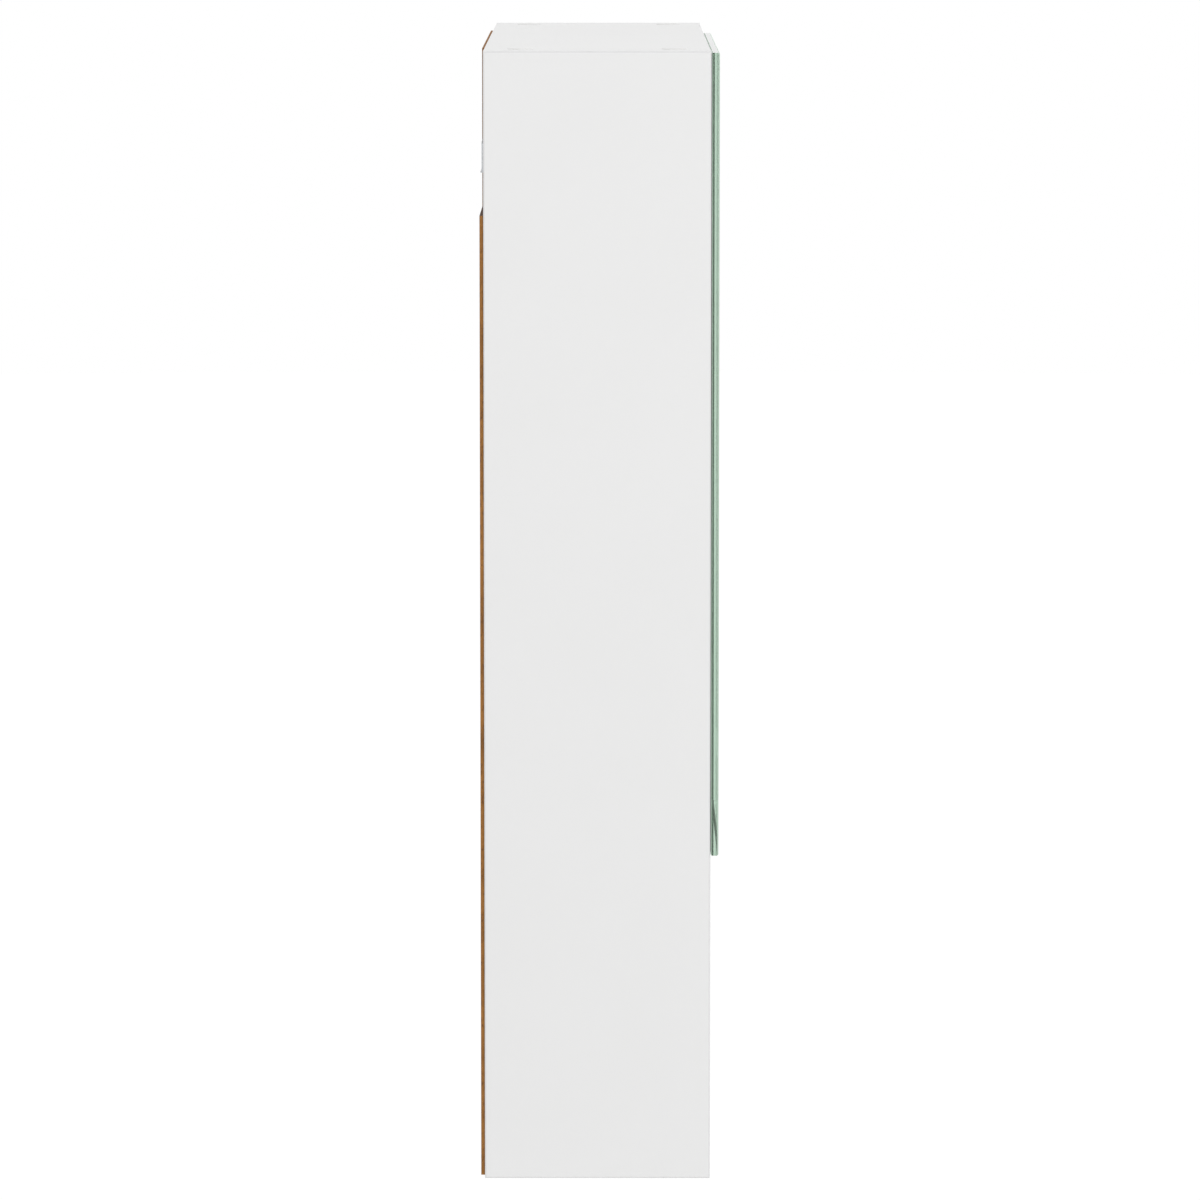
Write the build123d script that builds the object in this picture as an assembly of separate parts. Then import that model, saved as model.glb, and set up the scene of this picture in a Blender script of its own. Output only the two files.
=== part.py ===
from build123d import *
import math
import os

# Wall-hung bathroom mirror cabinet, in millimetres.
# +Z is up, the mirror faces -Y and the wall is at +Y. The origin lies midway between the keyholes of the
# two wall hangers, in the plane of the boards' back edges.

# Carcass
carcass_width = 600.0
carcass_height = 750.0
carcass_depth = 150.0
board = 15.0
edge_round = 1.0
keyhole_drop = 72.0

# Fit of one rigid piece in another, as a radius or a gap on each side
fit = 0.05

# Flats that stand for the round of small fittings and their holes, to keep the repeated ones light
small_flats = 6
shown_flats = 8
cover_flats = 16

# Mirror door
glass_width = 400.0
glass_height = 531.5
glass_thickness = 5.0
glass_drop = 1.0
glass_arris = 0.5
door_gap = 0.3
grip_lip = 12.0

# Loose shelves
shelf_count = 2
shelf_end_gap = 1.6
shelf_back_gap = 1.0
cabinet_shelf_setback = 24.0
column_shelf_setback = 3.0

# Back panel
back_thickness = 2.5
back_inset = 2.0
notch_width = 115.0
notch_drop = 108.0

# Nails
nail_shank_radius = 0.7
nail_head_radius = 1.6
nail_head_height = 0.5
nail_length = 14.0
side_nail_count = 5
row_nail_count = 3
top_nail_count = 3
divider_nail_count = 2
nail_end_margin = 14.0
nail_flats = 4

# Cam fittings and dowels
fitting_setback = 24.0
cam_distance = 24.0
cam_radius = 7.4
cam_height = 11.5
cam_sink = 0.3
cam_floor = 0.4
cam_slot_reach = 4.5
cam_key_length = 7.0
cam_key_width = 1.4
cam_key_depth = 2.0
cover_radius = 8.5
cover_height = 0.6
bolt_thread_radius = 3.0
bolt_thread_length = 10.0
bolt_shank_radius = 2.2
bolt_head_radius = 3.4
bolt_head_length = 3.5
bolt_bore_radius = 4.0
dowel_radius = 4.0
dowel_length = 30.0
dowel_in_anchor = 10.0
dowel_end_gap = 0.5
divider_dowel_setback = 35.0

# Shelf pins
pin_radius = 2.5
pin_in_board = 6.0
pin_hole_depth = 6.5
pin_reach = 8.0
pin_setback = 32.0
pin_hole_pitch = 32.0

# Wall hangers
hanger_width = 60.0
hanger_height = 20.0
hanger_thickness = 1.0
hanger_inset = 1.0
hanger_corner = 2.0
hanger_lip_reach = 1.8
hanger_lip_height = 1.0
keyhole_inset = 45.0
keyhole_radius = 4.5
keyhole_slot_radius = 2.4
keyhole_rise = 7.5
keyhole_bottom_web = 3.0
hanger_screw_pitch = 10.0

# Countersunk screws, for the hangers, the hinges and the catch
screw_head_radius = 2.9
screw_head_height = 1.6
screw_shank_radius = 1.4
screw_length = 12.0

# Hinges
hinge_height = 45.0
hinge_end_distance = 85.0
leaf_thickness = 1.2
leaf_gap = 0.1
wrap_length = 30.0
wrap_corner = 8.0
bond_leaf_width = 40.0
hinge_pin_radius = 1.25
knuckle_wall = 1.2
knuckle_gap = 0.25
door_knuckle_height = 18.0
mortise_end_gap = 0.3
hinge_screw_setback = 11.0
hinge_screw_pitch_y = 12.0
hinge_screw_pitch_z = 26.0

# Magnetic catch
catch_rise = 60.0
catch_flange_length = 52.0
catch_flange_thickness = 2.4
catch_body_length = 30.0
catch_body_depth = 14.0
catch_body_reach = 13.0
catch_slot_inset = 5.5
catch_slot_radius = 1.6
catch_slot_length = 6.0
catch_wall = 1.8
pole_thickness = 1.2
pole_proud = 0.6
catch_air_gap = 0.1
strike_length = 40.0
strike_width = 13.0
strike_thickness = 1.0
strike_corner = 2.0

# Places that follow from the sizes above
outer_x = carcass_width / 2
inner_x = outer_x - board
front_y = -carcass_depth
top_z = keyhole_drop
bottom_z = top_z - carcass_height
under_top_z = top_z - board
glass_top_z = top_z - glass_drop
glass_bottom_z = glass_top_z - glass_height
fixed_shelf_z = glass_bottom_z + grip_lip + board
divider_right_x = glass_width - outer_x
divider_left_x = divider_right_x - board
divider_x = divider_right_x - board / 2
shelf_space = (under_top_z - fixed_shelf_z - shelf_count * board) / (shelf_count + 1)
shelf_undersides = [fixed_shelf_z + shelf_space + k * (shelf_space + board) for k in range(shelf_count)]
hinge_heights = {
    "upper": glass_top_z - hinge_end_distance,
    "lower": glass_bottom_z + hinge_end_distance,
}
glass_back_y = front_y - door_gap
glass_front_y = glass_back_y - glass_thickness
knuckle_radius = hinge_pin_radius + fit + knuckle_wall
door_leaf_y = glass_back_y + leaf_thickness
fixed_leaf_y = door_leaf_y + leaf_gap
mortise_y = fixed_leaf_y + leaf_thickness
hinge_axis_x = divider_right_x + knuckle_radius + door_gap
hinge_axis_y = door_leaf_y + leaf_gap / 2
catch_z = fixed_shelf_z + catch_rise
strike_y = glass_back_y + strike_thickness
pole_front_y = strike_y + catch_air_gap


def block(x, y, z):
    """A box between two values on each axis."""
    middle = ((x[0] + x[1]) / 2, (y[0] + y[1]) / 2, (z[0] + z[1]) / 2)
    return Pos(*middle) * Box(abs(x[1] - x[0]), abs(y[1] - y[0]), abs(z[1] - z[0]))


def bar(radius, start, end, flats=small_flats):
    """A bar along the local X axis, with flats for its round."""
    return Pos(start, 0, 0) * Rot(0, 90, 0) * extrude(RegularPolygon(radius, flats), end - start)


def round_bar(radius, start, end):
    """A truly round bar along the local X axis."""
    return Pos((start + end) / 2, 0, 0) * Rot(0, 90, 0) * Cylinder(radius, end - start)


def taper(radius_start, radius_end, length):
    """A bar that narrows along the local X axis, from zero to its length."""
    angle = math.degrees(math.atan((radius_start - radius_end) * math.cos(math.pi / small_flats) / length))
    return Rot(0, 90, 0) * extrude(RegularPolygon(radius_start, small_flats), length, taper=angle)


def group(solids):
    """Separate solids that share one node."""
    return Compound(children=list(solids))


def cam_joints():
    """For each cam fitting: the board that its bolt is screwed into, the board that holds its cam, and the
    joint's plane, with X from the first board into the second and Z to the face that the cam is turned from."""
    joints = []
    levels = {
        "top_panel": (top_z - board / 2, 1),
        "bottom_panel": (bottom_z + board / 2, -1),
        "fixed_shelf": (fixed_shelf_z - board / 2, -1),
    }
    for y in (-fitting_setback, front_y + fitting_setback):
        for name, (z, opens) in levels.items():
            for side, x, inward in (("left_side_panel", -inner_x, 1), ("right_side_panel", inner_x, -1)):
                joints.append((side, name, Plane((x, y, z), x_dir=(inward, 0, 0), z_dir=(0, 0, opens))))
    return joints


def dowel_joints():
    """A dowel midway between the two cams of each joint, and two at each end of the divider."""
    joints = []
    for anchor, name, plane in cam_joints()[: len(cam_joints()) // 2]:
        middle = (plane.origin.X, front_y / 2, plane.origin.Z)
        joints.append((anchor, name, Plane(middle, x_dir=plane.x_dir, z_dir=plane.z_dir)))
    for y in (-divider_dowel_setback, front_y + divider_dowel_setback):
        for anchor, z, into in (("top_panel", under_top_z, -1), ("fixed_shelf", fixed_shelf_z, 1)):
            joints.append((anchor, "divider", Plane((divider_x, y, z), x_dir=(0, 0, into), z_dir=(1, 0, 0))))
    return joints


def pin_places():
    """Every shelf pin hole: its board, its plane with X out of the board, and whether a pin is in it."""
    walls = (
        ("left_side_panel", -inner_x, 1),
        ("divider", divider_left_x, -1),
        ("divider", divider_right_x, 1),
        ("right_side_panel", inner_x, -1),
    )
    places = []
    for name, x, outward in walls:
        for underside in shelf_undersides:
            for y in (-pin_setback, front_y + pin_setback):
                for step in (-1, 0, 1):
                    z = underside - pin_radius + step * pin_hole_pitch
                    places.append((name, Plane((x, y, z), x_dir=(outward, 0, 0), z_dir=(0, 0, 1)), step == 0))
    return places


def spread(low, high, count):
    """Evenly spaced values from low to high."""
    return [low + k * (high - low) / (count - 1) for k in range(count)]


def nail_places():
    """Where each back panel nail goes in: the board behind it, and its X and Z."""
    side_x = outer_x - board / 2
    notch_z = top_z - notch_drop
    tongue_x = outer_x - notch_width
    row_x = inner_x - 3 * nail_end_margin
    places = []
    for name, x in (("left_side_panel", -side_x), ("right_side_panel", side_x)):
        for z in spread(bottom_z + nail_end_margin, notch_z - nail_end_margin, side_nail_count):
            places.append((name, x, z))
    for name, z in (("bottom_panel", bottom_z + board / 2), ("fixed_shelf", fixed_shelf_z - board / 2)):
        places += [(name, x, z) for x in spread(-row_x, row_x, row_nail_count)]
    for x in spread(-tongue_x + nail_end_margin, tongue_x - nail_end_margin, top_nail_count):
        places.append(("top_panel", x, top_z - board / 2))
    for z in spread(fixed_shelf_z + 3 * nail_end_margin, under_top_z - 3 * nail_end_margin, divider_nail_count):
        places.append(("divider", divider_x, z))
    return places


def hanger_screw_places():
    """The two screws of each hanger, in the middle of the side panel's back edge."""
    middle_z = hanger_bottom() + hanger_height / 2
    side_x = outer_x - board / 2
    return [
        (name, Plane((x, hanger_thickness, middle_z + dz), x_dir=(0, -1, 0), z_dir=(0, 0, 1)))
        for name, x in (("left_side_panel", -side_x), ("right_side_panel", side_x))
        for dz in (-hanger_screw_pitch / 2, hanger_screw_pitch / 2)
    ]


def hinge_screw_places(middle_z):
    """Three screws through a hinge's wrap into the divider's inner face."""
    x = divider_left_x - leaf_thickness
    y = mortise_y + hinge_screw_setback
    return [
        Plane((x, y, middle_z - hinge_screw_pitch_z / 2), x_dir=(1, 0, 0), z_dir=(0, 0, 1)),
        Plane((x, y + hinge_screw_pitch_y, middle_z), x_dir=(1, 0, 0), z_dir=(0, 0, 1)),
        Plane((x, y, middle_z + hinge_screw_pitch_z / 2), x_dir=(1, 0, 0), z_dir=(0, 0, 1)),
    ]


def catch_screw_places():
    """The catch's two screws, in slots at the ends of its flange."""
    x = catch_flange_thickness - inner_x
    y = pole_front_y + pole_proud + catch_body_depth / 2
    reach = catch_flange_length / 2 - catch_slot_inset
    return [Plane((x, y, catch_z + dz), x_dir=(-1, 0, 0), z_dir=(0, 0, 1)) for dz in (-reach, reach)]


def upright(radius, low, high, flats=shown_flats):
    """A short upright prism on the cam's centre, along the local Z axis."""
    return Pos(cam_distance, 0, low) * extrude(RegularPolygon(radius, flats), high - low)


def screw_cut(radius_more=0.0):
    """A countersunk screw's shape along local X, with its head's face at zero; also the hole it needs."""
    head = taper(screw_head_radius + radius_more, screw_shank_radius + radius_more, screw_head_height)
    return head + bar(screw_shank_radius + radius_more, 0, screw_length + radius_more)


def drilled(name, shape):
    """Takes out of a board every hole that a fitting needs in it."""
    cuts = []
    cam_open = board / 2
    for anchor, cam_board, plane in cam_joints():
        if anchor == name:
            cuts.append(plane * bar(bolt_thread_radius + fit, -bolt_thread_length - fit, 0))
        if cam_board == name:
            cuts.append(plane * bar(bolt_bore_radius, 0, cam_distance))
            floor = cam_open - cam_sink - cam_height - cam_floor
            cuts.append(plane * upright(cam_radius + fit, floor, cam_open))
    for anchor, other, plane in dowel_joints():
        if anchor == name:
            cuts.append(plane * bar(dowel_radius + fit, -dowel_in_anchor - dowel_end_gap, 0))
        if other == name:
            cuts.append(plane * bar(dowel_radius + fit, 0, dowel_length - dowel_in_anchor + dowel_end_gap))
    for pin_board, plane, _ in pin_places():
        if pin_board == name:
            cuts.append(plane * bar(pin_radius + fit, -pin_hole_depth, 0, shown_flats))
    for nailed, x, z in nail_places():
        if nailed == name:
            nail_hole = Plane((x, 0, z), x_dir=(0, -1, 0), z_dir=(0, 0, 1))
            cuts.append(nail_hole * bar(nail_shank_radius + fit, 0, nail_length - back_thickness, nail_flats))
    for screwed, plane in hanger_screw_places():
        if screwed == name:
            cuts.append(plane * screw_cut(fit))
    if name == "left_side_panel":
        cuts += [plane * screw_cut(fit) for plane in catch_screw_places()]
    if name == "divider":
        for middle_z in hinge_heights.values():
            cuts += [plane * screw_cut(fit) for plane in hinge_screw_places(middle_z)]
    return shape - cuts


def side_panel(side):
    """A full-height side board with rounded edging round its outer face; side is -1 for the left."""
    blank = block((side * inner_x, side * outer_x), (front_y, 0), (bottom_z, top_z))
    outer_face = blank.faces().sort_by(Axis.X)[0 if side < 0 else -1]
    return fillet(outer_face.edges(), edge_round)


def cross_board(low_x, high_x, low_z, front, back=0.0):
    """A horizontal board whose long front edges are rounded."""
    blank = block((low_x, high_x), (front, back), (low_z, low_z + board))
    front_face = blank.faces().sort_by(Axis.Y)[0]
    return fillet(front_face.edges().filter_by(Axis.X), edge_round)


def divider():
    """The upright board between the mirror compartment and the open column, let in for the hinges."""
    blank = block((divider_left_x, divider_right_x), (front_y, 0), (fixed_shelf_z, under_top_z))
    front_face = blank.faces().sort_by(Axis.Y)[0]
    shape = fillet(front_face.edges().filter_by(Axis.Z), edge_round)
    reach = hinge_height / 2 + mortise_end_gap
    for middle_z in hinge_heights.values():
        across = (divider_left_x - 1, divider_right_x + 1)
        shape -= block(across, (front_y - 1, mortise_y), (middle_z - reach, middle_z + reach))
    return shape


def loose_shelf(low_x, high_x, underside, setback):
    """An adjustable shelf that lies on four pins."""
    ends = (low_x + shelf_end_gap, high_x - shelf_end_gap)
    return cross_board(ends[0], ends[1], underside, front_y + setback, -shelf_back_gap)


def back_panel():
    """Hardboard nailed to the back edges, with its upper corners cut away for the wall hangers."""
    half = outer_x - back_inset
    shape = block((-half, half), (0, back_thickness), (bottom_z + back_inset, top_z - back_inset))
    for side in (-1, 1):
        corner_x = (side * (outer_x - notch_width), side * (outer_x + 1))
        shape -= block(corner_x, (-1, back_thickness + 1), (top_z - notch_drop, top_z + 1))
    holes = []
    for _, x, z in nail_places():
        place = Plane((x, back_thickness, z), x_dir=(0, -1, 0), z_dir=(0, 0, 1))
        holes.append(place * bar(nail_shank_radius + fit, 0, back_thickness, nail_flats))
        holes.append(place * bar(nail_head_radius + fit, 0, nail_head_height))
    return shape - holes


def back_panel_nails():
    """Wire nails, driven flush with the hardboard."""
    nails = []
    for _, x, z in nail_places():
        place = Plane((x, back_thickness, z), x_dir=(0, -1, 0), z_dir=(0, 0, 1))
        head = bar(nail_head_radius, 0, nail_head_height)
        nails.append(place * (head + bar(nail_shank_radius, 0, nail_length - fit, nail_flats)))
    return group(nails)


def hanger_bottom():
    """The hanger's lower edge, a web below the keyhole."""
    return -keyhole_radius - keyhole_bottom_web


def wall_hanger(side):
    """A steel plate on the side panel's back edge, with a keyhole beyond it and a lip along its foot."""
    low, high = hanger_bottom(), hanger_bottom() + hanger_height
    outer = outer_x - hanger_inset
    plate = block((side * outer, side * (outer - hanger_width)), (0, hanger_thickness), (low, high))
    plate = fillet(plate.edges().filter_by(Axis.Y).sort_by(Axis.Z)[-2:], hanger_corner)
    lip = block((side * outer, side * (outer - hanger_width)), (0, hanger_lip_reach), (low, low + hanger_lip_height))
    hole_x = side * (outer_x - keyhole_inset)
    hole = Plane((hole_x, hanger_thickness + 1, 0), x_dir=(0, -1, 0), z_dir=(0, 0, 1))
    depth = hanger_thickness + 2
    entry = hole * round_bar(keyhole_radius, 0, depth)
    slot_end = Pos(0, 0, keyhole_rise) * (hole * round_bar(keyhole_slot_radius, 0, depth))
    slot_x = (hole_x - keyhole_slot_radius, hole_x + keyhole_slot_radius)
    slot = block(slot_x, (-1, hanger_thickness + 1), (0, keyhole_rise))
    shape = plate + lip - entry - slot_end - slot
    name = "left_side_panel" if side < 0 else "right_side_panel"
    return shape - [plane * screw_cut(fit) for screwed, plane in hanger_screw_places() if screwed == name]


def screws(planes):
    """Countersunk screws."""
    return group([plane * screw_cut() for plane in planes])


def cam_lock():
    """A cam disc with the slot that takes its bolt's head, and a key slot for the driver."""
    top = board / 2 - cam_sink
    disc = upright(cam_radius, top - cam_height, top)
    disc -= bar(bolt_bore_radius, cam_distance - cam_radius - 1, cam_distance + cam_slot_reach)
    return disc - Pos(cam_distance, 0, top) * Box(cam_key_length, cam_key_width, 2 * cam_key_depth)


def cam_bolt():
    """A bolt screwed into one board, with its head inside the other board's cam."""
    head_end = cam_distance + bolt_head_length / 2
    bolt = bar(bolt_thread_radius, -bolt_thread_length, 0) + bar(bolt_shank_radius, 0, head_end)
    return bolt + bar(bolt_head_radius, head_end - bolt_head_length, head_end)


def cam_cover():
    """A round cap that closes the cam's hole."""
    return upright(cover_radius, board / 2, board / 2 + cover_height, cover_flats)


def dowel():
    """A beech dowel."""
    return bar(dowel_radius, -dowel_in_anchor, dowel_length - dowel_in_anchor)


def shelf_pin():
    """A plain steel pin; the shelf lies on its outer end."""
    return bar(pin_radius, -pin_in_board, pin_reach, shown_flats)


def knuckle(low, high):
    """One knuckle of a hinge, bored for the pin."""
    place = Pos(hinge_axis_x, hinge_axis_y, (low + high) / 2)
    return place * Cylinder(knuckle_radius, high - low), place * Cylinder(hinge_pin_radius + fit, high - low)


def knuckle_levels(middle_z):
    """The heights of the door's knuckle and of the fixed knuckles above and below it."""
    half = door_knuckle_height / 2
    end = hinge_height / 2
    door = (middle_z - half, middle_z + half)
    below = (middle_z - end, middle_z - half - knuckle_gap)
    above = (middle_z + half + knuckle_gap, middle_z + end)
    return door, below, above


def fixed_leaf(middle_z):
    """The hinge's wrap leaf: across the divider's front edge in its mortise and back along its inner face."""
    low, high = middle_z - hinge_height / 2, middle_z + hinge_height / 2
    door_level, below, above = knuckle_levels(middle_z)
    wrap_x = divider_left_x - leaf_thickness
    edge_part = block((wrap_x, hinge_axis_x), (fixed_leaf_y, mortise_y), (low, high))
    wrap_end = mortise_y + wrap_length
    face_part = block((wrap_x, divider_left_x), (fixed_leaf_y, wrap_end), (low, high))
    face_part = fillet(face_part.edges().filter_by(Axis.X).sort_by(Axis.Y)[-2:], wrap_corner)
    leaf = edge_part + face_part
    bend = leaf.edges().filter_by(Axis.Z).sort_by(Axis.X)[:2].sort_by(Axis.Y)[:1]
    leaf = fillet(bend, leaf_thickness)
    bores = []
    for level in (below, above):
        barrel, bore = knuckle(*level)
        leaf += barrel
        bores.append(bore)
    gap = (door_level[0] - knuckle_gap, door_level[1] + knuckle_gap)
    clear_x = (divider_right_x - door_gap, hinge_axis_x + knuckle_radius + 1)
    leaf -= block(clear_x, (fixed_leaf_y - 1, mortise_y + 1), gap)
    return leaf - bores - [plane * screw_cut(fit) for plane in hinge_screw_places(middle_z)]


def door_leaf(middle_z):
    """The leaf bonded to the back of the glass, with the middle knuckle."""
    low, high = middle_z - hinge_height / 2, middle_z + hinge_height / 2
    far_x = divider_right_x - bond_leaf_width
    level = knuckle_levels(middle_z)[0]
    leaf = block((far_x, divider_right_x - door_gap), (glass_back_y, door_leaf_y), (low, high))
    leaf = fillet(leaf.edges().filter_by(Axis.Y).sort_by(Axis.X)[:2], wrap_corner)
    leaf += block((far_x + wrap_corner, hinge_axis_x), (glass_back_y, door_leaf_y), level)
    barrel, bore = knuckle(*level)
    return leaf + barrel - bore


def hinge_pin(middle_z):
    """The hinge's plain pin, pressed into the two fixed knuckles."""
    return Pos(hinge_axis_x, hinge_axis_y, middle_z) * Cylinder(hinge_pin_radius, hinge_height)


def mirror_glass():
    """The mirror door: one pane of float glass with ground edges."""
    pane = block((-outer_x, divider_right_x), (glass_front_y, glass_back_y), (glass_bottom_z, glass_top_z))
    return chamfer(pane.edges(), glass_arris)


def catch_box():
    """The space of the catch's magnet, between its two pole plates: its X, Y and Z."""
    back_y = pole_front_y + pole_proud + catch_body_depth
    x = (catch_wall + catch_flange_thickness - inner_x, catch_body_reach - catch_wall - inner_x)
    z = (catch_z - catch_body_length / 2 + catch_wall, catch_z + catch_body_length / 2 - catch_wall)
    return x, (pole_front_y + pole_proud, back_y - catch_wall), z


def catch_housing():
    """The catch's moulded housing, with a flange along the side panel and its mouth to the door."""
    front, back = pole_front_y + pole_proud, pole_front_y + pole_proud + catch_body_depth
    half = catch_flange_length / 2
    flange = block((-inner_x, catch_flange_thickness - inner_x), (front, back), (catch_z - half, catch_z + half))
    flange = fillet(flange.edges().filter_by(Axis.X), strike_corner)
    reach = catch_body_length / 2
    body = block((-inner_x, catch_body_reach - inner_x), (front, back), (catch_z - reach, catch_z + reach))
    body = fillet(body.edges().filter_by(Axis.Z).sort_by(Axis.X)[-2:], edge_round)
    x, y, z = catch_box()
    shape = flange + body - block((x[0] - fit, x[1] + fit), (y[0] - 1, y[1] + fit), (z[0] - fit, z[1] + fit))
    slot_half = (catch_slot_length - 2 * catch_slot_radius) / 2
    for plane in catch_screw_places():
        for dy in (-slot_half, slot_half):
            shape -= Pos(0, dy, 0) * (plane * bar(catch_slot_radius, -1, catch_flange_thickness + 1))
        middle_y, middle_z = plane.origin.Y, plane.origin.Z
        slot_y = (middle_y - slot_half, middle_y + slot_half)
        slot_z = (middle_z - catch_slot_radius, middle_z + catch_slot_radius)
        shape -= block((-inner_x - 1, catch_flange_thickness - inner_x + 1), slot_y, slot_z)
        shape -= plane * taper(screw_head_radius + fit, screw_shank_radius + fit, screw_head_height)
    return shape


def catch_magnet():
    """The magnet, between the pole plates."""
    x, y, z = catch_box()
    return block((x[0] + pole_thickness, x[1] - pole_thickness), y, z)


def pole_plates():
    """Two steel plates that carry the magnet's pull to the strike plate."""
    x, y, z = catch_box()
    lengths = (y[0] - pole_proud, y[1])
    return group(
        [
            block((x[0], x[0] + pole_thickness), lengths, z),
            block((x[1] - pole_thickness, x[1]), lengths, z),
        ]
    )


def strike_plate():
    """The steel plate bonded to the glass in front of the catch."""
    x = catch_box()[0]
    middle_x = (x[0] + x[1]) / 2
    half, reach = strike_width / 2, strike_length / 2
    plate = block((middle_x - half, middle_x + half), (glass_back_y, strike_y), (catch_z - reach, catch_z + reach))
    return fillet(plate.edges().filter_by(Axis.Y), strike_corner)


nodes = {
    "left_side_panel": drilled("left_side_panel", side_panel(-1)),
    "right_side_panel": drilled("right_side_panel", side_panel(1)),
    "top_panel": drilled("top_panel", cross_board(-inner_x, inner_x, under_top_z, front_y)),
    "bottom_panel": drilled("bottom_panel", cross_board(-inner_x, inner_x, bottom_z, front_y)),
    "fixed_shelf": drilled("fixed_shelf", cross_board(-inner_x, inner_x, fixed_shelf_z - board, front_y)),
    "divider": drilled("divider", divider()),
    "back_panel": back_panel(),
    "back_panel_nails": back_panel_nails(),
    "left_wall_hanger": wall_hanger(-1),
    "right_wall_hanger": wall_hanger(1),
    "hanger_screws": screws([plane for _, plane in hanger_screw_places()]),
    "cam_locks": group([plane * cam_lock() for _, _, plane in cam_joints()]),
    "cam_bolts": group([plane * cam_bolt() for _, _, plane in cam_joints()]),
    "cam_covers": group([plane * cam_cover() for _, _, plane in cam_joints()]),
    "wood_dowels": group([plane * dowel() for _, _, plane in dowel_joints()]),
    "shelf_pins": group([plane * shelf_pin() for _, plane, used in pin_places() if used]),
    "mirror_glass": mirror_glass(),
    "catch_housing": catch_housing(),
    "catch_magnet": catch_magnet(),
    "catch_pole_plates": pole_plates(),
    "catch_screws": screws(catch_screw_places()),
    "strike_plate": strike_plate(),
}
shelf_names = ["lower", "upper"] + [f"shelf_{k + 1}" for k in range(2, shelf_count)]
for name, underside in zip(shelf_names, shelf_undersides):
    nodes[name + "_cabinet_shelf"] = loose_shelf(-inner_x, divider_left_x, underside, cabinet_shelf_setback)
    nodes[name + "_column_shelf"] = loose_shelf(divider_right_x, inner_x, underside, column_shelf_setback)
for name, middle_z in hinge_heights.items():
    nodes[name + "_fixed_leaf"] = fixed_leaf(middle_z)
    nodes[name + "_door_leaf"] = door_leaf(middle_z)
    nodes[name + "_hinge_pin"] = hinge_pin(middle_z)
    nodes[name + "_hinge_screws"] = screws(hinge_screw_places(middle_z))

os.makedirs("parts", exist_ok=True)
for name, shape in nodes.items():
    export_step(shape, f"parts/{name}.step")
print(f"{len(nodes)} nodes, pin clearance {fit} mm, shelf spaces {shelf_space:.1f} mm")
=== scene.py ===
import math

import bmesh
import bpy
from mathutils import Matrix, Vector


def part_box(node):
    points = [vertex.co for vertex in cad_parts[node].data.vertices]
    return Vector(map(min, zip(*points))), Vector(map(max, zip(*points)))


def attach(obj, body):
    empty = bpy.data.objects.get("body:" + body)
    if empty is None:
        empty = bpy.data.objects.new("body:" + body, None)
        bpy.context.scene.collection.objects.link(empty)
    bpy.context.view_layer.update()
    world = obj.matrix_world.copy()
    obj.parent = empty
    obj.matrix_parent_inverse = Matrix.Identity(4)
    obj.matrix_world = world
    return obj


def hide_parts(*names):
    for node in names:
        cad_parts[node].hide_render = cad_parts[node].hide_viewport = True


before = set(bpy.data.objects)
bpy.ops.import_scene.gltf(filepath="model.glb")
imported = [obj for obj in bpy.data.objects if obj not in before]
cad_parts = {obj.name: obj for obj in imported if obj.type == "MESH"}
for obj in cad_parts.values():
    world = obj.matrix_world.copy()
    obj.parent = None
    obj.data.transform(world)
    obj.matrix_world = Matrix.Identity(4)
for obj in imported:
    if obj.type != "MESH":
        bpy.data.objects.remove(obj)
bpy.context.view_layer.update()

# Side panels: two full-height boards of 15 mm particle board, faced with white melamine and edged all round
# with white tape. Their outer arrises are rounded by the edging machine, and their inner faces are drilled
# for the shelf pins, the cam bolts and the dowels.
MM = 0.001


def node(tree, kind, sockets=(), **settings):
    """Adds a node; its sockets are given by name or number, its settings by name."""
    made = tree.nodes.new(kind)
    for name, value in settings.items():
        setattr(made, name, value)
    for name, value in dict(sockets).items():
        if isinstance(value, bpy.types.NodeSocket):
            tree.links.new(value, made.inputs[name])
        else:
            made.inputs[name].default_value = value
    return made


def maths(tree, operation, *values):
    """A Math node's result."""
    return node(tree, "ShaderNodeMath", enumerate(values), operation=operation).outputs[0]


def blended(tree, share, colour_a, colour_b):
    """Colour A turned towards colour B by a share."""
    return node(tree, "ShaderNodeMix", {0: share, 6: colour_a, 7: colour_b}, data_type="RGBA").outputs[2]


def ranged(tree, value, low, high, to_low, to_high):
    """A value taken from one range to another."""
    return node(tree, "ShaderNodeMapRange", enumerate((value, low, high, to_low, to_high))).outputs[0]


def shader_group(name, inputs, outputs):
    """A shader node group with named sockets: its tree, and its input and output nodes."""
    tree = bpy.data.node_groups.new(name, "ShaderNodeTree")
    for label, (kind, value) in inputs.items():
        socket = tree.interface.new_socket(label, in_out="INPUT", socket_type=kind)
        if value is not None:
            socket.default_value = value
    for label, kind in outputs.items():
        tree.interface.new_socket(label, in_out="OUTPUT", socket_type=kind)
    return tree, tree.nodes.new("NodeGroupInput"), tree.nodes.new("NodeGroupOutput")


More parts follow.
